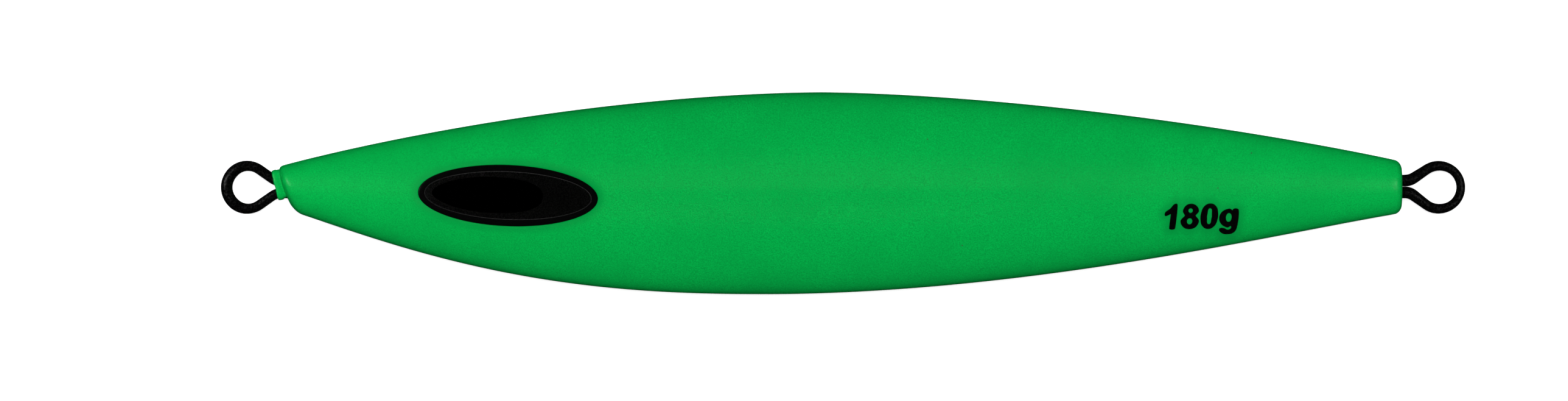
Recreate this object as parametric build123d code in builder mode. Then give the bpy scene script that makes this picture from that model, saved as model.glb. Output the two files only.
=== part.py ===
"""Metal jig: a cast-lead fishing lure with a wire loop at each end and a luminous green coating.

The jig lies on its flatter rear side. +X runs from the nose to the tail, +Y to the back edge
and +Z up, out of the front side. The origin is under the middle of the jig, on the surface it
lies on. The wires lie in one plane, wire_plane, which is also the casting's parting plane.
Every height of the body is measured from the wires' shared axis in that plane.
All sizes are in millimetres and degrees.
"""

from build123d import *
from math import cos, radians, sin, tan
from typing import NamedTuple
import os


class Outline(NamedTuple):
    """One edge of the body, seen square on: how far it stands from the wires' axis."""

    nose: float  # height at the nose end
    peak: float  # height at its fullest point
    tail: float  # height at the tail end
    peak_x: float  # where the fullest point stands
    nose_power: float  # how long the edge stays full towards the nose
    tail_power: float  # how long it stays full towards the tail
    shoulder: float  # over 1 draws the ends in, under 1 fills them out


# ---- Body ----
body_length = 141.2  # nose face to tail face, along the wires' axis
back = Outline(nose=2.1, peak=12.0, tail=2.8, peak_x=-2.7, nose_power=1.75, tail_power=1.63, shoulder=0.94)
belly = Outline(nose=2.2, peak=13.5, tail=3.0, peak_x=-9.4, nose_power=2.44, tail_power=1.85, shoulder=1.18)
front = Outline(nose=2.3, peak=5.7, tail=2.2, peak_x=-8.0, nose_power=2.0, tail_power=1.8, shoulder=1.0)
rear = Outline(nose=2.1, peak=4.6, tail=2.0, peak_x=2.0, nose_power=1.5, tail_power=1.8, shoulder=1.0)
nose_slant = 18.0  # the nose face leans back from square by this, back edge foremost
nose_round = 1.2  # rounding of the nose face's rim
tail_round = 0.75  # rounding of the tail face's rim
land_depth = 0.35  # how much of the rear side's crown is flat, to lie on
station_count = 15  # cross-sections in the body's loft
loft_overrun = 2.0  # the loft runs past each end face by this, before it is cut

# ---- Luminous coating ----
coat_thickness = 0.35

# ---- Wires ----
wire_diameter = 1.27
loop_bore = 4.15  # clear round opening of each loop
neck_length = 4.7  # end face to the middle of its loop
leg_gap = 0.23  # clear between a wire's two legs
leg_angle = 35.0  # the legs open out to the loop at this angle
bend_radius = 2.0  # of the bend where each leg opens out
wire_end_gap = 2.0  # between the two wires' ends, inside the lead

# ---- Collar of coating round the wire at the nose ----
collar_length = 3.5  # along the nose face, back to belly
collar_width = 2.3  # front to rear
collar_height = 1.0  # out of the nose face
collar_shift = 0.25  # its middle stands this far from the wires' axis, towards the back edge
collar_round = 0.25  # rounding of its outer rim

# ---- Eyes, one on each side ----
eye_length = 22.8
eye_height = 7.8
eye_x = -42.2
eye_y = -1.05  # from the wires' axis
eye_tilt = -2.3  # tail end down
eye_rim = 0.85  # width of the rim round the iris
socket_depth = 0.3
rim_proud = 0.05  # the rim stands out of the coating by this
cup_floor = 0.12  # thickness of the cup's floor, under the iris
print_thickness = 0.1  # of the iris and of the pupil
dome_proud = 0.3  # the clear dome stands out of the coating by this
dome_round = 0.25  # rounding of the dome's top edge
dome_gap = 0.08  # between the dome and the rim
socket_gap = 0.05  # between the eye and its socket
pupil_length = 14.1
pupil_height = 4.6
pupil_shift = -2.5  # pupil's middle from the eye's middle, towards the nose

# ---- Weight mark: the casting's weight in grams ----
mark_x = 45.05
mark_y = -3.7  # from the wires' axis
mark_tilt = 2.0  # tail end up
mark_height = 3.15  # of a numeral
mark_width = 2.05
mark_pitch = 2.43  # between the middles of its characters
mark_stroke = 0.6
mark_corner = 0.85  # outer rounding of its rings
mark_drop = 0.62  # the g hangs this far below the numerals
mark_bowl = 1.8  # height of the g's bowl
ink_thickness = 0.1

# ---- Worked out from those ----
wire_y = (belly.peak - back.peak) / 2
wire_z = rear.peak - land_depth
wire_plane = Plane(origin=(0, wire_y, wire_z))
half_body = body_length / 2
nose_face = Plane(
    origin=(-half_body, wire_y, wire_z),
    x_dir=(-sin(radians(nose_slant)), cos(radians(nose_slant)), 0),
    z_dir=(-cos(radians(nose_slant)), -sin(radians(nose_slant)), 0),
)
tail_face = Plane(origin=(half_body, wire_y, wire_z), z_dir=(1, 0, 0))
column_height = 2 * max(front.peak, rear.peak)  # reaches out of the body from wire_plane
iris_length = eye_length - 2 * eye_rim
iris_height = eye_height - 2 * eye_rim
floor_depth = socket_depth - cup_floor  # top of the eye cup's floor
print_depth = floor_depth - print_thickness  # top of the iris and of the pupil


def height(x, outline):
    """How far an outline stands from the wires' axis at station x."""
    reach = half_body + loft_overrun
    if x < outline.peak_x:
        end, power = outline.nose, outline.nose_power
        share = (outline.peak_x - x) / (outline.peak_x + reach)
    else:
        end, power = outline.tail, outline.tail_power
        share = (x - outline.peak_x) / (reach - outline.peak_x)
    return end + (outline.peak - end) * (1 - share**power) ** outline.shoulder


def body_form(inset):
    """The body's outer shape, taken in all round by inset, or let out where inset is negative."""
    with BuildPart() as form:
        for i in range(station_count):
            x = (half_body + loft_overrun) * (2 * i / (station_count - 1) - 1)
            middle = (height(x, back) - height(x, belly)) / 2
            tall = (height(x, back) + height(x, belly)) / 2 - inset
            station = Plane(origin=(x, wire_y + middle, wire_z), x_dir=(0, 1, 0), z_dir=(1, 0, 0))
            with BuildSketch(station):
                with BuildLine():
                    for quarter, outline in enumerate((front, front, rear, rear)):
                        thick = height(x, outline) - inset
                        EllipticalCenterArc((0, 0), tall, thick, start_angle=90 * quarter, arc_size=90)
                make_face()
        loft()
        split(bisect_by=nose_face.offset(-inset), keep=Keep.BOTTOM)
        split(bisect_by=tail_face.offset(-inset), keep=Keep.BOTTOM)
        split(bisect_by=Plane.XY.offset(inset), keep=Keep.TOP)
        ends = form.faces().filter_by(GeomType.PLANE).sort_by(Axis.X)
        fillet(ends[0].edges(), nose_round - inset)
        ends = form.faces().filter_by(GeomType.PLANE).sort_by(Axis.X)
        fillet(ends[-1].edges(), tail_round - inset)
    return form.part


def skin(outer, inner):
    """The body's skin between two insets."""
    with BuildPart() as layer:
        add(body_form(outer))
        add(body_form(inner), mode=Mode.SUBTRACT)
    return layer.part


def oval_column(side, length, tall, shift=0.0):
    """An oval prism under the eye's outline, out from wire_plane to the front, 1, or the rear, -1."""
    with BuildPart() as column:
        with BuildSketch(Plane(origin=(eye_x, wire_y + eye_y, wire_z)).rotated((0, 0, eye_tilt))):
            with Locations((shift, 0)):
                Ellipse(length / 2, tall / 2)
        extrude(amount=side * column_height)
    return column.part


# ---- Wire: a hairpin at each end, with its loop outside the body and its legs cast in the lead ----
loop_x = half_body + neck_length
loop_radius = (loop_bore + wire_diameter) / 2
leg_y = (wire_diameter + leg_gap) / 2
touch_x = loop_x - loop_radius * sin(radians(leg_angle))
touch_y = loop_radius * cos(radians(leg_angle))
bend_x = touch_x - (touch_y - leg_y) / tan(radians(leg_angle))


def hairpin(side):
    """The wire of one end, the tail's, 1, or the nose's, -1, with legs that reach mid-body."""
    leg_end = side * wire_end_gap / 2
    bend = side * bend_x
    touch = side * touch_x
    crown = side * (loop_x + loop_radius)
    with BuildPart() as wire:
        with BuildLine(wire_plane) as route:
            FilletPolyline((leg_end, -leg_y), (bend, -leg_y), (touch, -touch_y), radius=bend_radius)
            ThreePointArc((touch, -touch_y), (crown, 0), (touch, touch_y))
            FilletPolyline((touch, touch_y), (bend, leg_y), (leg_end, leg_y), radius=bend_radius)
        with BuildSketch(Plane(origin=route.line @ 0, z_dir=route.line % 0)):
            Circle(wire_diameter / 2)
        sweep(path=route.line)
    return wire.part


with BuildPart() as nose_wire:
    add(hairpin(-1))
with BuildPart() as tail_wire:
    add(hairpin(1))

# ---- Sockets: cut in the coating, and as deep again in the lead behind it ----
with BuildPart() as coat_sockets:
    for side in (1, -1):
        add(oval_column(side, eye_length, eye_height))
    add(body_form(socket_depth), mode=Mode.SUBTRACT)

with BuildPart() as lead_sockets:
    for side in (1, -1):
        add(oval_column(side, eye_length + 2 * coat_thickness, eye_height + 2 * coat_thickness))
    add(body_form(coat_thickness + socket_depth), mode=Mode.SUBTRACT)

# ---- Lead casting, poured round the wires ----
with BuildPart() as casting:
    add(body_form(coat_thickness))
    add(lead_sockets.part, mode=Mode.SUBTRACT)

with BuildPart() as lead_core:
    add(casting.part)
    add(nose_wire.part, mode=Mode.SUBTRACT)
    add(tail_wire.part, mode=Mode.SUBTRACT)

# ---- Luminous coating over the casting ----
with BuildPart() as luminous_coat:
    add(body_form(0))
    add(coat_sockets.part, mode=Mode.SUBTRACT)
    add(casting.part, mode=Mode.SUBTRACT)
    add(nose_wire.part, mode=Mode.SUBTRACT)
    add(tail_wire.part, mode=Mode.SUBTRACT)

# ---- Collar: coating built up round the wire's legs, against the nose face ----
with BuildPart() as nose_collar:
    with BuildSketch(nose_face.offset(-nose_round)):
        with Locations((collar_shift, 0)):
            Ellipse(collar_length / 2, collar_width / 2)
    extrude(amount=nose_round + collar_height)
    fillet(nose_collar.faces().filter_by(GeomType.PLANE).sort_by(Axis.X)[0].edges(), collar_round)
    add(body_form(0), mode=Mode.SUBTRACT)
    add(nose_wire.part, mode=Mode.SUBTRACT)


# ---- Eyes: a black cup in the socket, a printed iris and pupil in the cup, a clear dome over them ----
def eye_well(side):
    """The room over one eye cup's floor, inside its rim."""
    with BuildPart() as well:
        add(oval_column(side, iris_length, iris_height))
        add(body_form(floor_depth), mode=Mode.SUBTRACT)
    return well.part


def eye_cup(side):
    """Floor and raised rim of one eye."""
    with BuildPart() as cup:
        add(skin(-rim_proud, socket_depth))
        add(
            oval_column(side, eye_length - 2 * socket_gap, eye_height - 2 * socket_gap),
            mode=Mode.INTERSECT,
        )
        add(eye_well(side), mode=Mode.SUBTRACT)
    return cup.part


def eye_iris(side):
    """Printed ring round the pupil, inside the cup."""
    with BuildPart() as iris:
        add(skin(print_depth, floor_depth))
        add(oval_column(side, iris_length, iris_height), mode=Mode.INTERSECT)
        add(oval_column(side, pupil_length, pupil_height, pupil_shift), mode=Mode.SUBTRACT)
    return iris.part


def eye_pupil(side):
    """Printed pupil, set in the iris towards the nose."""
    with BuildPart() as pupil:
        add(skin(print_depth, floor_depth))
        add(oval_column(side, pupil_length, pupil_height, pupil_shift), mode=Mode.INTERSECT)
    return pupil.part


def eye_dome(side):
    """Clear resin dome over the iris and pupil, rounded at its top edge."""
    with BuildPart() as dome:
        add(skin(-dome_proud, print_depth))
        add(
            oval_column(side, iris_length - 2 * dome_gap, iris_height - 2 * dome_gap),
            mode=Mode.INTERSECT,
        )
        outer = dome.faces().sort_by(Axis.Z)[-1 if side > 0 else 0]
        fillet(outer.edges(), dome_round)
    return dome.part


with BuildPart() as eye_base_front:
    add(eye_cup(1))
with BuildPart() as eye_base_rear:
    add(eye_cup(-1))
with BuildPart() as eye_iris_front:
    add(eye_iris(1))
with BuildPart() as eye_iris_rear:
    add(eye_iris(-1))
with BuildPart() as eye_pupil_front:
    add(eye_pupil(1))
with BuildPart() as eye_pupil_rear:
    add(eye_pupil(-1))
with BuildPart() as eye_dome_front:
    add(eye_dome(1))
with BuildPart() as eye_dome_rear:
    add(eye_dome(-1))


def mark_ring(x, y, tall):
    """A ring one stroke wide in the mark's sketch."""
    room = 2 * mark_stroke
    with Locations((x, y)):
        RectangleRounded(mark_width, tall, mark_corner)
        RectangleRounded(mark_width - room, tall - room, mark_corner - mark_stroke, mode=Mode.SUBTRACT)


# ---- Weight mark: 180 g in plain strokes, printed on the front side ----
one_x, eight_x, zero_x, gram_x = [mark_pitch * (place - 1.5) for place in range(4)]
half_mark = mark_height / 2
eight_ring = (mark_height + mark_stroke) / 2
eight_rise = (mark_height - eight_ring) / 2
stem_x = gram_x + (mark_width - mark_stroke) / 2
gram_foot = -half_mark - mark_drop + mark_stroke / 2
bowl_y = (mark_bowl - mark_height) / 2 + mark_stroke / 2
with BuildPart() as weight_mark:
    with BuildSketch(Plane(origin=(mark_x, wire_y + mark_y, wire_z)).rotated((0, 0, mark_tilt))):
        mark_ring(eight_x, -eight_rise, eight_ring)
        mark_ring(eight_x, eight_rise, eight_ring)
        mark_ring(zero_x, 0, mark_height)
        mark_ring(gram_x, bowl_y, mark_bowl)
        with BuildLine():
            Polyline((one_x - mark_width / 3, half_mark / 2), (one_x, half_mark), (one_x, -half_mark))
        trace(line_width=mark_stroke)
        with BuildLine():
            Polyline((stem_x, bowl_y), (stem_x, gram_foot), (gram_x - mark_width / 2, gram_foot))
        trace(line_width=mark_stroke)
    extrude(amount=column_height)
    add(skin(-ink_thickness, 0), mode=Mode.INTERSECT)

os.makedirs("parts", exist_ok=True)
for label, piece in (
    ("lead_core", lead_core),
    ("luminous_coat", luminous_coat),
    ("nose_collar", nose_collar),
    ("nose_wire", nose_wire),
    ("tail_wire", tail_wire),
    ("eye_base_front", eye_base_front),
    ("eye_base_rear", eye_base_rear),
    ("eye_iris_front", eye_iris_front),
    ("eye_iris_rear", eye_iris_rear),
    ("eye_pupil_front", eye_pupil_front),
    ("eye_pupil_rear", eye_pupil_rear),
    ("eye_dome_front", eye_dome_front),
    ("eye_dome_rear", eye_dome_rear),
    ("weight_mark", weight_mark),
):
    piece.part.label = label
    export_step(piece.part, f"parts/{label}.step")
    print(label, len(piece.part.solids()), "solids", round(piece.part.volume, 2), "mm3")
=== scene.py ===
import math

import bmesh
import bpy
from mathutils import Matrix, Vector, kdtree, noise


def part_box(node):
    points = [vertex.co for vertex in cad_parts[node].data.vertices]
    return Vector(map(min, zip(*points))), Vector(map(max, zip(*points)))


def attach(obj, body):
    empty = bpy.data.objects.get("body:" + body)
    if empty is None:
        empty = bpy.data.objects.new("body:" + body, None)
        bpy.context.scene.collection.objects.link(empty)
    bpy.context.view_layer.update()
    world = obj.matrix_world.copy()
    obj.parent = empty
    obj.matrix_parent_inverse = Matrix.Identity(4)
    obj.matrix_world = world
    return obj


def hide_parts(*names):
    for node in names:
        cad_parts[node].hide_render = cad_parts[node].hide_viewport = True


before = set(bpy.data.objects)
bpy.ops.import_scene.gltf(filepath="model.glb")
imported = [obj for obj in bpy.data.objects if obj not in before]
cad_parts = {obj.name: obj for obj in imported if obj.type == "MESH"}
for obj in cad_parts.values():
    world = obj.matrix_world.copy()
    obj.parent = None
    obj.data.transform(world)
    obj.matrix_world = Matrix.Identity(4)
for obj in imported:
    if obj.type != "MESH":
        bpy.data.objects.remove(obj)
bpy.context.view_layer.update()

mm = 0.001  # sizes below are in millimetres, and meshes in metres


def hexColour(code):
    # sRGB hex, as a paint chart gives it, to the linear values that Blender wants
    channels = [int(code[i:i + 2], 16) / 255 for i in (1, 3, 5)]
    linear = [c / 12.92 if c <= 0.04045 else ((c + 0.055) / 1.055) ** 2.4 for c in channels]
    return (*linear, 1.0)


def smoothStep(low, high, value):
    share = min(max((value - low) / (high - low), 0), 1)
    return share * share * (3 - 2 * share)


def makePiece(name, verts, faces, material, node, smooth=True):
    # a finished mesh, closed and facing out, riding on the jig in place of its CAD node
    mesh = bpy.data.meshes.new(name)
    mesh.from_pydata([tuple(c * mm for c in v) for v in verts], [], faces)
    tidy = bmesh.new()
    tidy.from_mesh(mesh)
    bmesh.ops.recalc_face_normals(tidy, faces=tidy.faces)
    tidy.to_mesh(mesh)
    tidy.free()
    mesh.polygons.foreach_set("use_smooth", [smooth] * len(mesh.polygons))
    mesh.materials.append(material)
    piece = bpy.data.objects.new(name, mesh)
    bpy.context.scene.collection.objects.link(piece)
    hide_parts(node)
    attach(piece, "root")
    return piece


def ringMesh(rings):
    # quads between rings of equal count, with a fan on a middle point at either end
    verts, faces = [], []
    count = len(rings[0])
    for ring in rings:
        verts.extend(ring)
    for row in range(len(rings) - 1):
        a, b = row * count, (row + 1) * count
        for i in range(count):
            j = (i + 1) % count
            faces.append((a + i, a + j, b + j, b + i))
    for ring, start in ((rings[0], 0), (rings[-1], (len(rings) - 1) * count)):
        middle = len(verts)
        verts.append(tuple(sum(v[k] for v in ring) / count for k in range(3)))
        for i in range(count):
            faces.append((start + i, start + (i + 1) % count, middle))
    return verts, faces


def addNode(tree, kind, inputs=None, **settings):
    # one shader node, its settings, and its inputs as values or as links from other nodes
    node = tree.nodes.new(kind)
    for name, value in settings.items():
        setattr(node, name, value)
    for key, value in (inputs or {}).items():
        if isinstance(value, bpy.types.NodeSocket):
            tree.links.new(value, node.inputs[key])
        else:
            node.inputs[key].default_value = value
    return node


def newMaterial(name, **sockets):
    # a material, its node tree, its shader, and the place on the jig that its patterns follow
    material = bpy.data.materials.new(name)
    material.use_nodes = True
    tree = material.node_tree
    shader = tree.nodes["Principled BSDF"]
    for key, value in sockets.items():
        shader.inputs[key].default_value = value
    place = addNode(tree, "ShaderNodeTexCoord").outputs["Object"]
    return material, tree, shader, place


def perMetre(sizeMm):
    # a texture's scale, from the real size of one grain of it
    return 1 / (sizeMm * mm)


def noisePattern(tree, place, sizeMm, **inputs):
    # noise with grains of about this size
    return addNode(
        tree, "ShaderNodeTexNoise", {"Vector": place, "Scale": perMetre(sizeMm), **inputs}
    ).outputs["Fac"]


def mapBand(tree, value, low, high, first=0.0, last=1.0):
    # a pattern's values between low and high, spread from first to last
    return addNode(
        tree, "ShaderNodeMapRange",
        {"Value": value, "From Min": low, "From Max": high, "To Min": first, "To Max": last},
    ).outputs["Result"]


def mixColours(tree, factor, first, second):
    # two colours mixed by a pattern, each a hex code or what another node gives
    first, second = [hexColour(c) if isinstance(c, str) else c for c in (first, second)]
    return addNode(
        tree, "ShaderNodeMix", {"Factor": factor, "A": first, "B": second}, data_type="RGBA"
    ).outputs["Result"]


def pressIn(tree, shader, height, strength, depthMm):
    # a pattern pressed into the surface
    bump = addNode(tree, "ShaderNodeBump", {"Height": height, "Strength": strength, "Distance": depthMm * mm})
    tree.links.new(bump.outputs["Normal"], shader.inputs["Normal"])


# the body's shape: four edges seen from the wires' axis, with a soft keel along the front
body = {
    "length": 141.2,  # nose face to tail face, along the wires' axis
    "overrun": 2.0,  # the edges' formula runs past each end face by this
    "noseSlant": 18.0,  # degrees, back edge foremost
    "noseRound": 1.2,
    "noseCrisp": 0.4,  # share of that rounding taken off towards the back edge
    "tailRound": 0.95,
    "noseBulge": 0.25,  # how far the middle of the nose face stands out
    "tailBulge": 0.02,
    "slantFade": 12.0,  # length over which sections turn from slanted to square
    "back": {"nose": 2.25, "peak": 12.0, "tail": 2.8, "peakX": -2.7,
             "nosePower": 1.75, "tailPower": 1.63, "shoulder": 0.94},
    "belly": {"nose": 2.2, "peak": 13.5, "tail": 3.0, "peakX": -9.4,
              "nosePower": 2.44, "tailPower": 1.85, "shoulder": 1.18},
    "front": {"nose": 2.3, "peak": 5.7, "tail": 2.2, "peakX": -8.0,
              "nosePower": 2.0, "tailPower": 1.8, "shoulder": 1.0},
    "rear": {"nose": 2.1, "peak": 4.6, "tail": 2.0, "peakX": 2.0,
             "nosePower": 1.5, "tailPower": 1.8, "shoulder": 1.0},
    "landSoft": 0.1,  # rounding of the flat on the rear side
    "fluteDepth": 0.13,  # a shallow hollow just under the keel, where the casting is thickest
    "fluteWidth": 6.5,
    "fluteFrom": -48.0,  # where the hollow fades in and out along the body
    "fluteTo": 38.0,
    "fluteFade": 24.0,
    "fluteLean": 0.7,  # under 1 sets its deepest line nearer to the keel
}
wireLow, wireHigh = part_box("nose_wire")
wireY = (wireLow.y + wireHigh.y) / 2 / mm
wireZ = (wireLow.z + wireHigh.z) / 2 / mm
halfBody = body["length"] / 2
slantTan = math.tan(math.radians(body["noseSlant"]))


def edgeHeight(x, edge):
    # how far one edge stands from the wires' axis at station x
    reach = halfBody + body["overrun"]
    if x < edge["peakX"]:
        end, power, span = edge["nose"], edge["nosePower"], edge["peakX"] + reach
    else:
        end, power, span = edge["tail"], edge["tailPower"], reach - edge["peakX"]
    share = min(abs(x - edge["peakX"]) / span, 1)
    return end + (edge["peak"] - end) * (1 - share ** power) ** edge["shoulder"]


def section(x):
    # middle and half-height of the cross-section, as y, then its front and rear crowns
    back, belly, front, rear = [edgeHeight(x, body[k]) for k in ("back", "belly", "front", "rear")]
    return wireY + (back - belly) / 2, (back + belly) / 2, front, rear


def fluteAt(x, y):
    # depth of the hollow under the keel, which starts sharply at the keel and dies out below
    share = (wireY - y) / body["fluteWidth"]
    if not 0 < share < 1:
        return 0.0
    fadeIn = smoothStep(body["fluteFrom"], body["fluteFrom"] + body["fluteFade"], x)
    fadeOut = 1 - smoothStep(body["fluteTo"] - body["fluteFade"], body["fluteTo"], x)
    return body["fluteDepth"] * math.sin(math.pi * share ** body["fluteLean"]) ** 2 * fadeIn * fadeOut


def surfaceZ(x, y, side, depth=0.0):
    # height of a point on the front, 1, or the rear, -1, at a depth under the coating's surface
    middle, tall, front, rear = section(x)
    roundness = math.sqrt(max(1 - ((y - middle) / tall) ** 2, 0))
    if side > 0:
        return wireZ + front * roundness - depth - fluteAt(x, y)
    return wireZ - rear * roundness + depth


print("body shape ready, wire axis at", round(wireY, 3), round(wireZ, 3))

# the eyes: a cup in a socket, a printed iris and pupil in it, and a clear dome over them
eye = {
    "length": 22.8,
    "height": 7.8,
    "tilt": -2.3,  # degrees, tail end down
    "rim": 0.85,  # width of the cup's rim
    "socketDepth": 0.3,
    "socketGap": 0.05,
    "socketSlack": 0.01,  # the coating's socket is this much deeper than the cup
    "socketWall": 0.35,  # how far in from the eye's outline the socket reaches its floor
    "floorTop": 0.18,  # depth of the cup's floor under the coating's surface
    "irisTop": 0.1,
    "pupilTop": 0.07,
    "rimOutside": [(0, 0.15), (0, 0.02), (0.03, -0.02), (0.1, -0.05)],  # in from its edge, and depth
    "rimInside": [(0.14, -0.05), (0.05, -0.02), (0, 0.03)],  # short of the rim's width, and depth
    "domeProud": 0.3,
    "domeShoulder": 0.22,  # how proud the dome is where its rounded edge ends
    "domeEdge": 0.03,  # depth at which that edge starts
    "domeGap": 0.08,
    "domeBottom": 0.14,  # the resin is bonded to the films, so it starts just under their tops
    "domeRound": 0.3,
    "domeRoundRows": 9,
    "moatDepth": 0.09,  # the coating sinks by this where it meets the eye
    "moatWidth": 1.1,
    "pupilNose": 7.2,  # pupil's reach from its fullest point towards the nose
    "pupilTail": 6.8,
    "pupilMiddle": -2.4,  # where its fullest point stands, from the eye's middle
    "pupilHeight": 4.5,
    "pupilTaper": 1.75,  # under 2 sharpens the pupil's nose end
    "pupilBlunt": 2.5,  # over 2 squares off its tail end
    "around": 180,
    "innerRows": 9,
}
eyeLow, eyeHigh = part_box("eye_base_front")
eyeX = (eyeLow.x + eyeHigh.x) / 2 / mm
eyeY = (eyeLow.y + eyeHigh.y) / 2 / mm
eyeCos = math.cos(math.radians(eye["tilt"]))
eyeSin = math.sin(math.radians(eye["tilt"]))


def fromEye(u, v):
    # a point in the eye's own frame, as x and y on the jig
    return eyeX + u * eyeCos - v * eyeSin, eyeY + u * eyeSin + v * eyeCos


def eyeDistance(x, y):
    # about how far a point lies outside the eye's outline, negative inside it
    dx, dy = x - eyeX, y - eyeY
    u, v = dx * eyeCos + dy * eyeSin, dy * eyeCos - dx * eyeSin
    a, b = eye["length"] / 2, eye["height"] / 2
    ratio = math.hypot(u / a, v / b)
    slope = math.hypot(u / a ** 2, v / b ** 2)
    return ratio * (ratio - 1) / slope if slope > 1e-6 else -b


def socketDepthAt(x, y):
    # how deep the coating's surface lies under its plain shape: a soft moat, then the socket
    distance = eyeDistance(x, y)
    if distance >= eye["moatWidth"]:
        return 0.0
    if distance >= 0:
        return eye["moatDepth"] * (1 - distance / eye["moatWidth"]) ** 2
    floor = eye["socketDepth"] + eye["socketSlack"]
    return eye["moatDepth"] + (floor - eye["moatDepth"]) * smoothStep(0, eye["socketWall"], -distance)


# thick luminous enamel, sprayed in several coats: the phosphor grains give a fine speckle that
# sparkles where the light glances off it, and painted shade darkens it round the eyes and the printed mark
paint = {
    "green": "#00B34A",
    "deepGreen": "#00953D",
    # the darker green of the painted shade round the eyes and the mark
    "paintedShade": "#00933D",
    "speck": "#2C5A38",
    "roughness": 0.3,
    "gloss": 0.35,
    "grainMm": 0.15,  # real phosphor grains are 0.05 mm, drawn coarser so that they show
    "grainBand": (0.3, 0.7),  # noise values over which deep green turns to green
    "mottleMm": 7.0,
    "mottleBand": (0.4, 0.65),
    "mottleMost": 0.3,  # how far the mottle goes towards deep green
    "speckMm": 5.0,  # between dark specks
    "speckBand": (0.016, 0.026),  # a speck's edge, as shares of that, so it is about 0.2 mm wide
    "speckMost": 0.8,
    "bumpMm": 0.035,
    "bumpStrength": 0.6,
    "shadeMm": 1.3,  # width of the painted shade round the eyes and the mark
    "shadeFull": 0.1,  # as far out as this, in mm, it is at its darkest
}
luminousPaint, tree, shader, place = newMaterial(
    "luminousEnamel", **{"Roughness": paint["roughness"], "IOR": 1.5, "Specular IOR Level": paint["gloss"]}
)
grain = noisePattern(tree, place, paint["grainMm"], Detail=1.0, Roughness=0.6)
greens = mixColours(tree, mapBand(tree, grain, *paint["grainBand"]), paint["deepGreen"], paint["green"])
mottle = noisePattern(tree, place, paint["mottleMm"], Detail=4.0)
mottle = mapBand(tree, mottle, *paint["mottleBand"], last=paint["mottleMost"])
mottled = mixColours(tree, mottle, greens, paint["deepGreen"])
# painted shade: the green is darkened round the eyes and the mark, as an attribute on the skin gives it
paintedShadeMap = addNode(tree, "ShaderNodeAttribute", attribute_name="paintedShade")
greensWithPaintedShade = mixColours(tree, paintedShadeMap.outputs["Fac"], mottled, paint["paintedShade"])
cells = addNode(
    tree, "ShaderNodeTexVoronoi", {"Vector": place, "Scale": perMetre(paint["speckMm"]), "Randomness": 1.0}
)
specks = mapBand(tree, cells.outputs["Distance"], *paint["speckBand"], paint["speckMost"], 0.0)
tree.links.new(mixColours(tree, specks, greensWithPaintedShade, paint["speck"]), shader.inputs["Base Color"])
pressIn(tree, shader, grain, paint["bumpStrength"], paint["bumpMm"])

# stainless wire under a baked black coat: near black, with a faint satin sheen in patches
wireFinish = {
    "black": "#030303",
    "worn": "#101010",
    "wornBand": (0.5, 0.75),  # noise values over which black turns to worn
    "roughness": 0.4,
    "sheenBand": (0.4, 0.7),
    "gloss": (0.1, 0.7),  # least and most
    "speckMm": 0.25,
    "bumpMm": 0.01,
    "bumpStrength": 0.4,
}
blackWire, tree, shader, place = newMaterial(
    "blackCoatedWire", **{"Roughness": wireFinish["roughness"], "IOR": 1.5}
)
wear = noisePattern(tree, place, wireFinish["speckMm"], Detail=3.0)
blacks = mixColours(
    tree, mapBand(tree, wear, *wireFinish["wornBand"]), wireFinish["black"], wireFinish["worn"]
)
tree.links.new(blacks, shader.inputs["Base Color"])
sheen = mapBand(tree, wear, *wireFinish["sheenBand"], *wireFinish["gloss"])
tree.links.new(sheen, shader.inputs["Specular IOR Level"])
pressIn(tree, shader, wear, wireFinish["bumpStrength"], wireFinish["bumpMm"])

# moulded black ABS cup: a quiet satin black ring, with a hint of moulding texture
cupFinish = {
    "black": "#020202",
    "scuffed": "#060606",
    "roughness": 0.3,
    "gloss": 0.2,
    "textureMm": 0.3,
    "bumpMm": 0.003,
    "bumpStrength": 0.3,
}
blackCup, tree, shader, place = newMaterial(
    "mouldedBlackAbs",
    **{"Roughness": cupFinish["roughness"], "IOR": 1.53, "Specular IOR Level": cupFinish["gloss"]},
)
texture = noisePattern(tree, place, cupFinish["textureMm"])
tree.links.new(
    mixColours(tree, texture, cupFinish["black"], cupFinish["scuffed"]), shader.inputs["Base Color"]
)
pressIn(tree, shader, texture, cupFinish["bumpStrength"], cupFinish["bumpMm"])

# printed polyester film: a dark grey ink whose dots show as a faint grain
filmFinish = {
    "dark": "#242424",
    "dot": "#3A3A3A",
    "dotMm": 0.16,
    "dotBand": (0.35, 0.65),
    "roughness": 0.6,
    "gloss": 0.0,  # none of its own, because the resin is bonded to it
}
irisFilm, tree, shader, place = newMaterial(
    "printedIrisFilm",
    **{"Roughness": filmFinish["roughness"], "IOR": 1.5, "Specular IOR Level": filmFinish["gloss"]},
)
dots = noisePattern(tree, place, filmFinish["dotMm"], Detail=1.0)
dots = mapBand(tree, dots, *filmFinish["dotBand"])
tree.links.new(mixColours(tree, dots, filmFinish["dark"], filmFinish["dot"]), shader.inputs["Base Color"])

# screen ink of the pupil, a second dense black pass on the film: the darkest thing on the jig
pupilFinish = {"black": "#000000", "thin": "#020202", "roughness": 0.6, "gloss": 0.0, "patchMm": 0.5}
pupilInk, tree, shader, place = newMaterial(
    "densePupilInk",
    **{"Roughness": pupilFinish["roughness"], "IOR": 1.5, "Specular IOR Level": pupilFinish["gloss"]},
)
patches = noisePattern(tree, place, pupilFinish["patchMm"])
tree.links.new(
    mixColours(tree, patches, pupilFinish["black"], pupilFinish["thin"]), shader.inputs["Base Color"]
)

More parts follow.
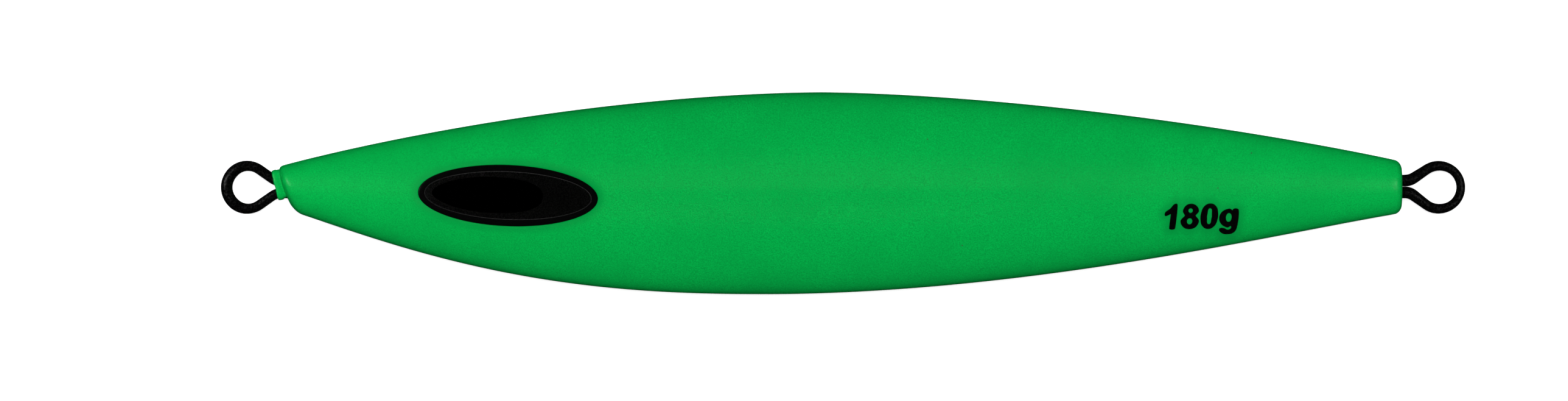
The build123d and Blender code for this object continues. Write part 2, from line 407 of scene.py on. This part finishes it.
# pad-printed ink of the weight mark: matt black, a little uneven, as it lies on the grain
inkFinish = {
    "black": "#010101",
    "thin": "#050505",
    "roughness": 0.7,
    "gloss": 0.3,
    "patchMm": 0.4,
    "bumpMm": 0.01,
    "bumpStrength": 0.4,
}
blackInk, tree, shader, place = newMaterial(
    "padPrintedInk",
    **{"Roughness": inkFinish["roughness"], "IOR": 1.5, "Specular IOR Level": inkFinish["gloss"]},
)
patches = noisePattern(tree, place, inkFinish["patchMm"], Detail=3.0)
tree.links.new(
    mixColours(tree, patches, inkFinish["black"], inkFinish["thin"]), shader.inputs["Base Color"]
)
pressIn(tree, shader, patches, inkFinish["bumpStrength"], inkFinish["bumpMm"])

# poured epoxy resin: clear and hard, with the faint waviness of a meniscus
resinFinish = {
    "tint": "#F4F6F2",
    "glare": "#7A7A7A",  # tint of its reflections
    "roughness": 0.05,
    "waveMm": 3.0,
    "bumpMm": 0.01,
    "bumpStrength": 0.3,
}
clearResin, tree, shader, place = newMaterial(
    "clearEpoxyDome", **{"Roughness": resinFinish["roughness"], "IOR": 1.5, "Transmission Weight": 1.0}
)
shader.inputs["Base Color"].default_value = hexColour(resinFinish["tint"])
shader.inputs["Specular Tint"].default_value = hexColour(resinFinish["glare"])
waves = noisePattern(tree, place, resinFinish["waveMm"])
pressIn(tree, shader, waves, resinFinish["bumpStrength"], resinFinish["bumpMm"])

# cast lead, hidden under the coating: dull blue grey with the frosty grain of a quick pour
leadFinish = {
    "grey": "#6D7076",
    "dull": "#54575C",
    "crystalMm": 2.0,
    "roughness": 0.6,
    "bumpMm": 0.03,
    "bumpStrength": 0.5,
}
castLead, tree, shader, place = newMaterial(
    "castLead", **{"Roughness": leadFinish["roughness"], "Metallic": 1.0}
)
crystals = noisePattern(tree, place, leadFinish["crystalMm"], Detail=6.0)
tree.links.new(
    mixColours(tree, crystals, leadFinish["grey"], leadFinish["dull"]), shader.inputs["Base Color"]
)
pressIn(tree, shader, crystals, leadFinish["bumpStrength"], leadFinish["bumpMm"])
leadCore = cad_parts["lead_core"]
leadCore.data.materials.clear()
leadCore.data.materials.append(castLead)
print("materials ready")

# the weight mark: the casting's weight in grams, in bold slanted characters. Each outline is a
# closed curve through its points, in millimetres from the mark's middle; a corner is marked 1
mark = {
    "tilt": 0.3,  # degrees, tail end up
    "drop": 0.37,  # how far it stands below the middle of the printed area
    "slant": 0.09,  # how far the characters lean, for each millimetre of their height
    "thickness": 0.06,
    "sunk": 0.03,
    "cell": 0.22,  # the characters are cut into faces of this size, so that they follow the round
    "curveSteps": 8,  # straight pieces between two points of an outline
    "weld": 0.0001,
    "outlines": [
        # the one
        [(-3.24, 1.58, 0), (-3.16, 1.46, 0), (-3.2, -1.52, 0), (-3.26, -1.6, 0), (-3.88, -1.6, 0),
         (-3.94, -1.52, 0), (-3.92, 0.3, 1), (-4.58, 0.06, 0), (-4.66, 0.14, 0), (-4.66, 0.5, 0),
         (-4.58, 0.6, 0), (-4.06, 1.0, 0), (-3.64, 1.5, 0), (-3.46, 1.6, 0)],
        # the eight, with its two holes
        [(-1.42, 1.6, 0), (-0.4, 0.78, 0), (-0.76, 0.1, 1), (-0.27, -0.7, 0), (-1.45, -1.62, 0),
         (-2.6, -0.7, 0), (-2.12, 0.1, 1), (-2.42, 0.78, 0)],
        [(-1.45, 1.01, 0), (-1.18, 0.73, 0), (-1.45, 0.45, 0), (-1.72, 0.73, 0)],
        [(-1.45, -0.24, 0), (-1.11, -0.62, 0), (-1.45, -1.0, 0), (-1.79, -0.62, 0)],
        # the nought
        [(1.0, 1.62, 0), (1.74, 1.26, 0), (2.06, 0.4, 0), (2.06, -0.4, 0), (1.74, -1.24, 0), (1.0, -1.6, 0),
         (0.22, -1.24, 0), (-0.1, -0.4, 0), (-0.1, 0.4, 0), (0.22, 1.26, 0)],
        [(1.0, 1.0, 0), (1.28, 0.2, 0), (1.28, -0.2, 0), (1.0, -0.98, 0), (0.72, -0.2, 0), (0.72, 0.2, 0)],
        # the g, with its hole
        [(3.4, 0.96, 0), (3.86, 0.74, 1), (3.92, 0.9, 0), (4.54, 0.9, 0), (4.62, 0.8, 0),
         (4.64, -1.3, 0), (4.38, -1.98, 0), (3.5, -2.28, 0), (2.64, -2.04, 0), (2.38, -1.62, 0),
         (2.5, -1.5, 0), (3.0, -1.5, 0), (3.5, -1.7, 0), (3.88, -1.46, 0), (3.84, -1.22, 1),
         (3.34, -1.42, 0), (2.24, -0.2, 0)],
        [(3.46, 0.38, 0), (3.82, -0.16, 0), (3.46, -0.7, 0), (3.1, -0.16, 0)],
    ],
}
markLow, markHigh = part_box("weight_mark")
markX, markY = (markLow.x + markHigh.x) / 2 / mm, (markLow.y + markHigh.y) / 2 / mm


def markCurve():
    # the mark's outlines as one flat filled curve, whose inner outlines are holes
    curve = bpy.data.curves.new("weightMarkCurve", "CURVE")
    curve.dimensions = "2D"
    curve.fill_mode = "BOTH"
    curve.resolution_u = mark["curveSteps"]
    for outline in mark["outlines"]:
        spline = curve.splines.new("BEZIER")
        spline.bezier_points.add(len(outline) - 1)
        spline.use_cyclic_u = True
        for point, (x, y, corner) in zip(spline.bezier_points, outline):
            point.co = (x + mark["slant"] * y, y, 0)
            point.handle_left_type = point.handle_right_type = "VECTOR" if corner else "AUTO"
    return curve


drawn = bpy.data.objects.new("weightMarkCurve", markCurve())
bpy.context.scene.collection.objects.link(drawn)
bpy.context.view_layer.update()
flatMark = bpy.data.meshes.new_from_object(drawn.evaluated_get(bpy.context.evaluated_depsgraph_get()))
bpy.data.objects.remove(drawn)
markWork = bmesh.new()
markWork.from_mesh(flatMark)
bmesh.ops.remove_doubles(markWork, verts=markWork.verts, dist=mark["weld"])
for axis in (0, 1):
    low = min(v.co[axis] for v in markWork.verts)
    high = max(v.co[axis] for v in markWork.verts)
    across = Vector((1 - axis, axis, 0))
    for i in range(1, math.ceil((high - low) / mark["cell"])):
        everything = list(markWork.verts) + list(markWork.edges) + list(markWork.faces)
        bmesh.ops.bisect_plane(
            markWork, geom=everything, plane_co=across * (low + i * mark["cell"]), plane_no=across
        )
markCos, markSin = math.cos(math.radians(mark["tilt"])), math.sin(math.radians(mark["tilt"]))
lowY, highY = min(v.co.y for v in markWork.verts), max(v.co.y for v in markWork.verts)
for vert in markWork.verts:
    u, v = vert.co.x, vert.co.y - (lowY + highY) / 2
    vert.co = (markX + u * markCos - v * markSin, markY - mark["drop"] + u * markSin + v * markCos, 0)
markPoints = kdtree.KDTree(len(markWork.verts))
for i, vert in enumerate(markWork.verts):
    markPoints.insert(vert.co, i)
markPoints.balance()
solid = bmesh.ops.extrude_face_region(markWork, geom=list(markWork.faces))
raised = {v for v in solid["geom"] if isinstance(v, bmesh.types.BMVert)}
for vert in markWork.verts:
    depth = -mark["thickness"] if vert in raised else mark["sunk"]
    vert.co.z = surfaceZ(vert.co.x, vert.co.y, 1, depth)
markWork.verts.index_update()
markVerts = [tuple(v.co) for v in markWork.verts]
markFaces = [tuple(v.index for v in f.verts) for f in markWork.faces]
markWork.free()
makePiece("weightMark", markVerts, markFaces, blackInk, "weight_mark", smooth=False)
print("mark ready,", len(markFaces), "faces")

# the luminous skin over the casting: a closed shell, finer where the sockets and the mark are
skin = {
    "around": 240,  # points round each section
    "bodyStep": 0.6,
    "fineStep": 0.22,
    "fineMargin": 1.0,  # past the eyes and the mark, before the steps grow again
    "fineFade": 6.0,
    "capRows": 8,
    "roundRows": 8,
    "thickness": 0.35,
    "slantPasses": 4,  # a slanted point's place and section depend on each other, so it is settled
    "crownFrom": 0.3,  # sine of the angle round the section past which the sockets may cut
    "landReach": 1.5,  # height over the flat up to which it softens the section
}


def stationSteps():
    # distances along the body for the sections, closer together by the eyes and the mark
    inset = max(body["noseRound"], body["tailRound"])
    x, last = -halfBody + inset, halfBody - inset
    fine = [(eyeX, eye["length"] / 2 + eye["moatWidth"]), (markX, (markHigh.x - markLow.x) / 2 / mm)]
    stations = []
    while x < last:
        stations.append(x)
        gap = min(abs(x - middle) - reach for middle, reach in fine) - skin["fineMargin"]
        x += skin["fineStep"] + (skin["bodyStep"] - skin["fineStep"]) * smoothStep(0, skin["fineFade"], gap)
    return stations


def skinPoint(station, angle, skinInset, roundInset=0.0, shrink=1.0, slanted=0.0, bulge=0.0):
    # one point of a section: skinInset into the body and roundInset more where its end rounds
    # off, drawn in to the middle by shrink on the end faces
    cosA, sinA = math.cos(angle), math.sin(angle)
    inset = skinInset + roundInset
    x = station
    for _ in range(skin["slantPasses"]):
        middle, tall, front, rear = section(x)
        y = middle + (tall - inset) * cosA * shrink
        x = station - slanted * slantTan * (y - wireY)
    crown = front if sinA >= 0 else rear
    z = wireZ + (crown - inset) * sinA * shrink
    if sinA > 0:
        z -= fluteAt(x, y)
    if abs(sinA) > skin["crownFrom"]:
        z -= math.copysign(socketDepthAt(x, y), sinA)
    over, soft = z - skinInset, body["landSoft"]
    if over < skin["landReach"]:
        z = skinInset + (over + math.sqrt(over * over + soft * soft)) / 2
    return x + bulge, y, z


def skinRings(skinInset):
    # sections from the middle of the nose face, over its round, along the body, to the tail face
    angles = [2 * math.pi * i / skin["around"] for i in range(skin["around"])]
    rings = []
    for end, rounding, slanted, bulge, crisp in (
        (-1, body["noseRound"], 1.0, -body["noseBulge"], body["noseCrisp"]),
        (1, body["tailRound"], 0.0, body["tailBulge"], 0.0),
    ):
        size = rounding - skinInset
        turns = [(a, 1 - crisp * (1 + math.cos(a)) / 2) for a in angles]
        face = end * (halfBody - skinInset)
        rows = []
        for i in range(1, skin["capRows"]):
            share = i / skin["capRows"]
            lift = 0 if skinInset else bulge * (1 - share * share)
            rows.append([skinPoint(face, a, skinInset, size * k, share, slanted, lift) for a, k in turns])
        for i in range(skin["roundRows"]):
            turn = math.pi / 2 * i / skin["roundRows"]
            inwards, along = size * (1 - math.sin(turn)), size * (1 - math.cos(turn))
            rows.append(
                [skinPoint(face - end * along * k, a, skinInset, inwards * k, 1, slanted) for a, k in turns]
            )
        if end > 0:
            rings.extend(reversed(rows))
            break
        rings.extend(rows)
        for station in stationSteps():
            fade = 1 - smoothStep(0, body["slantFade"], station + halfBody)
            rings.append([skinPoint(station, a, skinInset, 0, 1, fade) for a in angles])
    return rings


def paintedShadeAt(x, y, z):
    # how much painted shade the coating gets: most at the eye's rim and at the mark, and none past the width
    # set in the paint's table
    distance = max(eyeDistance(x, y), 0)
    if z > wireZ:
        distance = min(distance, markPoints.find(Vector((x, y, 0)))[2])
    return 1 - smoothStep(paint["shadeFull"], paint["shadeMm"], distance)


outerVerts, outerFaces = ringMesh(skinRings(0.0))
innerVerts, innerFaces = ringMesh(skinRings(skin["thickness"]))
shift = len(outerVerts)
innerFaces = [tuple(shift + i for i in face) for face in innerFaces]
luminousSkin = makePiece(
    "luminousSkin", outerVerts + innerVerts, outerFaces + innerFaces,
    luminousPaint, "luminous_coat",
)
# the painted shade's strength at each outer point of the skin, with none on its inside
paintedShade = luminousSkin.data.attributes.new("paintedShade", "FLOAT", "POINT")
paintedShade.data.foreach_set("value", [paintedShadeAt(*v) for v in outerVerts] + [0.0] * len(innerVerts))
print("skin ready,", len(outerFaces), "faces outside")

# the two wires: hairpins whose loops stand outside the body, thicker or thinner at the far side
wire = {
    "diameter": 1.27,
    "loopBore": 4.15,
    "neck": 4.7,  # end face to the middle of its loop
    "legGap": 0.23,  # clear between its two legs
    "legAngle": 35.0,
    "bendRadius": 2.0,
    "endGap": 2.0,
    "around": 32,
    "step": 0.12,  # between rings where the wire bends
    "straightStep": 0.72,
    "noseCrown": 1.17,  # thickness at the loop's far side, against the wire's own
    "tailCrown": 0.88,
    "tailNeck": 1.17,  # thickness where the tail wire leaves the body, and its rise there
    "tailRise": 0.1,
    "neckFade": 1.0,  # length inside the body over which the neck's thickness fades in
    "neckReach": 0.5,  # it starts to fade out this far outside the body
    "crownFrom": 1.0,  # it has gone, and the crown's thickness begins, this far before the loop's middle
    "wobble": 0.012,  # unevenness of the coat
    "wobbleRate": 0.7,  # for each millimetre
    "wobbleShift": 5.0,  # sets the two wires' unevenness apart
}
loopX = halfBody + wire["neck"]
loopRadius = (wire["loopBore"] + wire["diameter"]) / 2
legY = (wire["diameter"] + wire["legGap"]) / 2
legAngle = math.radians(wire["legAngle"])
touchX = loopX - loopRadius * math.sin(legAngle)
touchY = loopRadius * math.cos(legAngle)
bendX = touchX - (touchY - legY) / math.tan(legAngle)
bendReach = wire["bendRadius"] * math.tan(legAngle / 2)
slopeRun = (touchY - legY) / math.sin(legAngle) - bendReach


def walkWire():
    # the tail wire's path, walked from one leg's end round the loop to the other's
    legRun = bendX - bendReach - wire["endGap"] / 2
    bend = wire["bendRadius"] * legAngle, -legAngle
    loopTurn = math.pi + 2 * legAngle
    loop = loopRadius * loopTurn, loopTurn
    moves = [(legRun, 0), bend, (slopeRun, 0), loop, (slopeRun, 0), bend, (legRun, 0)]
    x, y, heading = wire["endGap"] / 2, -legY, 0.0
    path = [(x, y, heading)]
    for length, turn in moves:
        steps = max(2, round(length / wire["step" if turn else "straightStep"]))
        for _ in range(steps):
            heading += turn / steps / 2
            x += length / steps * math.cos(heading)
            y += length / steps * math.sin(heading)
            heading += turn / steps / 2
            path.append((x, y, heading))
    return path


def wireRings(side, crownScale, neckScale, rise):
    # rings along one wire's path, at the tail, 1, or mirrored to the nose, -1
    rings = []
    radius = wire["diameter"] / 2
    for x, y, heading in walkWire():
        atCrown = smoothStep(loopX - wire["crownFrom"], loopX + loopRadius, x)
        atNeck = smoothStep(halfBody - wire["neckFade"], halfBody, x)
        atNeck *= 1 - smoothStep(halfBody + wire["neckReach"], loopX - wire["crownFrom"], x)
        here = radius * (1 + (crownScale - 1) * atCrown + (neckScale - 1) * atNeck)
        spot = Vector((x * wire["wobbleRate"], y * wire["wobbleRate"], side * wire["wobbleShift"]))
        here *= 1 + wire["wobble"] * noise.noise(spot)
        inward = here - radius  # the loop's outside stays where it is
        acrossX, acrossY = -math.sin(heading), math.cos(heading)
        ring = []
        for i in range(wire["around"]):
            turn = 2 * math.pi * i / wire["around"]
            out = here * math.cos(turn) + inward * atCrown
            px, py = x + acrossX * out, y + acrossY * out + rise * atNeck
            ring.append((side * px, wireY + side * py, wireZ + here * math.sin(turn)))
        rings.append(ring)
    return rings


for name, node, side, shape in (
    ("noseWire", "nose_wire", -1, (wire["noseCrown"], 1.0, 0.0)),
    ("tailWire", "tail_wire", 1, (wire["tailCrown"], wire["tailNeck"], wire["tailRise"])),
):
    verts, faces = ringMesh(wireRings(side, *shape))
    makePiece(name, verts, faces, blackWire, node)
print("wires ready")

# the collar of coating built up round the nose wire's legs
collar = {
    "from": -1.4,  # its two ends along the nose face, from the wires' axis towards the back edge
    "to": 2.5,
    "width": 2.3,
    "heightBack": 0.95,  # out of the nose face, at its back end
    "heightBelly": 1.2,
    "squareness": 3.2,
    "waist": 0.12,  # drawn in by this where it meets the nose face, which leaves a dark crease
    # rows up its side and in over its top: how far each is drawn in, and its share of the height
    "foot": [(0.35, -0.5)],
    "side": [(0.1, 0.34), (0, 0.45), (0, 0.7)],
    "top": [(0.45, 1.0), (0.75, 0.98), (1.0, 0.97)],
    "waistTop": 0.2,
    "edgeRound": 0.18,
    "edgeFrom": 0.8,  # share of the height where its edge starts to round over
    "edgeRows": 5,
    "lump": 0.07,
    "lumpMm": 0.8,
    "around": 96,
}
slantCos, slantSin = math.cos(math.radians(body["noseSlant"])), math.sin(math.radians(body["noseSlant"]))


def collarPoint(along, across, out):
    # along the nose face towards the back edge, across it towards the front, and out of it
    x = -halfBody - out * slantCos - along * slantSin
    y = wireY - out * slantSin + along * slantCos
    return Vector((x, y, wireZ + across))


def collarRings():
    # rings from inside the nose face, out of it, and in over the collar's end
    middle, half = (collar["from"] + collar["to"]) / 2, (collar["to"] - collar["from"]) / 2
    waist = [(collar["waist"], 0.0), (collar["waist"], collar["waistTop"])]
    profile = collar["foot"] + waist + collar["side"]
    for i in range(1, collar["edgeRows"] + 1):
        turn = math.pi / 2 * i / collar["edgeRows"]
        rise = collar["edgeFrom"] + (1 - collar["edgeFrom"]) * math.sin(turn)
        profile.append((collar["edgeRound"] * (1 - math.cos(turn)), rise))
    profile += collar["top"]
    power = 2 / collar["squareness"]
    rings = []
    for drawnIn, rise in profile:
        ring = []
        for i in range(collar["around"]):
            turn = 2 * math.pi * i / collar["around"]
            cosT, sinT = math.cos(turn), math.sin(turn)
            along = middle + (half - drawnIn) * math.copysign(abs(cosT) ** power, cosT)
            across = (collar["width"] / 2 - drawnIn) * math.copysign(abs(sinT) ** power, sinT)
            share = (along - collar["from"]) / (collar["to"] - collar["from"])
            out = rise * (collar["heightBelly"] + (collar["heightBack"] - collar["heightBelly"]) * share)
            lump = noise.noise(collarPoint(along, across, out) / collar["lumpMm"]) * collar["lump"]
            point = collarPoint(along, across, out + lump) + Vector((0, cosT * slantCos, sinT)) * lump
            ring.append(tuple(point))
        rings.append(ring)
    return rings


verts, faces = ringMesh(collarRings())
makePiece("noseCollar", verts, faces, luminousPaint, "nose_collar")
print("collar ready")


def ovalRow(inset, depth):
    # a ring round the eye, inset from its outline
    a, b = eye["length"] / 2 - inset, eye["height"] / 2 - inset
    turns = [2 * math.pi * i / eye["around"] for i in range(eye["around"])]
    return [(a * math.cos(t), b * math.sin(t)) for t in turns], depth


def pupilRow(depth):
    # a ring round the pupil: long and tapering towards the nose, blunt towards the tail
    ring = []
    for i in range(eye["around"]):
        turn = 2 * math.pi * i / eye["around"]
        cosT, sinT = math.cos(turn), math.sin(turn)
        blunt = cosT > 0
        power = 2 / (eye["pupilBlunt"] if blunt else eye["pupilTaper"])
        reach = eye["pupilTail"] if blunt else eye["pupilNose"]
        u = eye["pupilMiddle"] + reach * math.copysign(abs(cosT) ** power, cosT)
        ring.append((u, eye["pupilHeight"] / 2 * math.copysign(abs(sinT) ** power, sinT)))
    return ring, depth


def innerRows(row, outwards=False):
    # rows that fill a ring's inside at its own depth, from the ring inwards or the other way
    ring, depth = row
    middleU = sum(u for u, v in ring) / len(ring)
    shares = [(i + 0.5) / eye["innerRows"] for i in range(eye["innerRows"])]
    rows = [([(middleU + (u - middleU) * s, v * s) for u, v in ring], depth) for s in shares]
    return rows if outwards else rows[::-1]


def eyeMesh(side, rows):
    # the rows laid on the jig, each point at its depth under the coating's surface
    rings = []
    for ring, depth in rows:
        places = [fromEye(u, v) for u, v in ring]
        rings.append([(x, y, surfaceZ(x, y, side, depth)) for x, y in places])
    return ringMesh(rings)


def cupRows():
    # the cup's rows, from the middle of its underside, up over the rim, to the middle of its floor
    gap, rim = eye["socketGap"], eye["rim"]
    bottom, floor = ovalRow(gap, eye["socketDepth"]), ovalRow(rim, eye["floorTop"])
    sides = [ovalRow(gap + inset, depth) for inset, depth in eye["rimOutside"]]
    sides += [ovalRow(rim - inset, depth) for inset, depth in eye["rimInside"]]
    return innerRows(bottom, outwards=True) + [bottom] + sides + [floor] + innerRows(floor)


def filmRows(top, bottom):
    # a flat film between two rows
    return innerRows(bottom, outwards=True) + [bottom, top] + innerRows(top)


def domeRows():
    # the dome's rows, from the middle of its underside, round its edge, to its top
    inset, shoulder, edge = eye["rim"] + eye["domeGap"], eye["domeShoulder"], eye["domeEdge"]
    bottom = ovalRow(inset, eye["domeBottom"])
    rows = innerRows(bottom, outwards=True) + [bottom]
    for i in range(eye["domeRoundRows"] + 1):
        turn = math.pi / 2 * i / eye["domeRoundRows"]
        depth = edge - (shoulder + edge) * math.sin(turn)
        rows.append(ovalRow(inset + eye["domeRound"] * (1 - math.cos(turn)), depth))
    top = rows[-1][0]
    for i in range(1, eye["innerRows"]):
        share = 1 - i / eye["innerRows"]
        depth = -shoulder - (eye["domeProud"] - shoulder) * (1 - share * share)
        rows.append(([(u * share, v * share) for u, v in top], depth))
    return rows


for side, name in ((1, "front"), (-1, "rear")):
    pieces = (
        ("EyeCup", cupRows(), blackCup, "eye_base"),
        ("Iris", filmRows(ovalRow(eye["rim"], eye["irisTop"]), ovalRow(eye["rim"], eye["floorTop"])),
         irisFilm, "eye_iris"),
        ("Pupil", filmRows(pupilRow(eye["pupilTop"]), pupilRow(eye["irisTop"])), pupilInk, "eye_pupil"),
        ("EyeDome", domeRows(), clearResin, "eye_dome"),
    )
    for ending, rows, material, slot in pieces:
        verts, faces = eyeMesh(side, rows)
        makePiece(name + ending, verts, faces, material, slot + "_" + name)
print("eyes ready")

# the studio: one big soft key from just behind the back edge, and two small lamps that give the
# sheen at the nose and the tail
studio = {
    "frameWidth": 198.2,  # width of the view at the wires' plane
    "lens": 180.0,
    "viewX": -7.46,  # the point that the camera stands square over
    "viewY": -0.92,
    "clipStart": 0.01,
    "floorReach": 4.0,
    "floorDrop": 0.0001,  # just under the jig, so that the two don't share a plane
    "floorWhite": "#F7F7F7",
    "floorRoughness": 0.9,
    "floorGlow": 0.6,  # a lit table top, so that it stays white under the jig's edges
    "keyPower": 19.8,  # lamps' powers in watts, and their heights, sides and sizes in metres
    "keyHeight": 1.4,
    "keySize": 0.6,
    "keySide": 0.14,
    "worldStrength": 0.12,
    "sheenSize": 0.03,
    "sheenSpread": 24.0,  # degrees, so that they leave the middle of the jig alone
    "nosePower": 0.001,
    "nosePlace": (-165.0, 40.0, 120.0),  # millimetres
    "tailPower": 0.00048,
    "tailPlace": (150.0, 15.0, 140.0),
}
camera = bpy.data.cameras.new("camera")
camera.lens = studio["lens"]
camera.clip_start = studio["clipStart"]
cameraObject = bpy.data.objects.new("camera", camera)
distance = studio["frameWidth"] * mm * camera.lens / camera.sensor_width
cameraObject.location = (studio["viewX"] * mm, studio["viewY"] * mm, wireZ * mm + distance)
bpy.context.scene.collection.objects.link(cameraObject)
bpy.context.scene.camera = cameraObject

floorMesh = bpy.data.meshes.new("floor")
reach = studio["floorReach"]
corners = [(-reach, -reach, 0), (reach, -reach, 0), (reach, reach, 0), (-reach, reach, 0)]
floorMesh.from_pydata(corners, [], [(0, 1, 2, 3)])
# pale laminate table top: evenly white to the eye, with no shadow on it
floorPaint, tree, shader, place = newMaterial(
    "paleTableTop",
    **{"Roughness": studio["floorRoughness"], "Emission Color": (1, 1, 1, 1),
       "Emission Strength": studio["floorGlow"]},
)
shader.inputs["Base Color"].default_value = hexColour(studio["floorWhite"])
floorMesh.materials.append(floorPaint)
floor = bpy.data.objects.new("floor", floorMesh)
floor.location.z = -studio["floorDrop"]
floor.visible_glossy = False
floor.visible_diffuse = False
bpy.context.scene.collection.objects.link(floor)


def softLight(name, power, size, place, aim=Vector(), spread=180.0, glossy=True):
    # a round lamp, its place and what it's aimed at in metres, its spread in degrees
    light = bpy.data.lights.new(name, "AREA")
    light.energy = power
    light.shape = "DISK"
    light.size = size
    light.spread = math.radians(spread)
    lamp = bpy.data.objects.new(name, light)
    lamp.location = place
    lamp.rotation_euler = (aim - Vector(place)).to_track_quat("-Z", "Y").to_euler()
    lamp.visible_camera = False
    lamp.visible_glossy = glossy
    lamp.visible_transmission = glossy
    bpy.context.scene.collection.objects.link(lamp)


keyPlace = (0, studio["keySide"], studio["keyHeight"])
softLight("keySoftbox", studio["keyPower"], studio["keySize"], keyPlace, glossy=False)
for end, side in (("nose", -1), ("tail", 1)):
    spot, tip = Vector(studio[end + "Place"]) * mm, Vector((side * halfBody, wireY, wireZ)) * mm
    softLight(end + "Sheen", studio[end + "Power"], studio["sheenSize"], spot, tip, studio["sheenSpread"])

world = bpy.data.worlds.new("studio")
world.use_nodes = True
background = world.node_tree.nodes["Background"]
background.inputs["Color"].default_value = (1, 1, 1, 1)
background.inputs["Strength"].default_value = studio["worldStrength"]
world.cycles_visibility.glossy = False
bpy.context.scene.world = world
bpy.context.scene.view_settings.view_transform = "Standard"

print("studio ready")
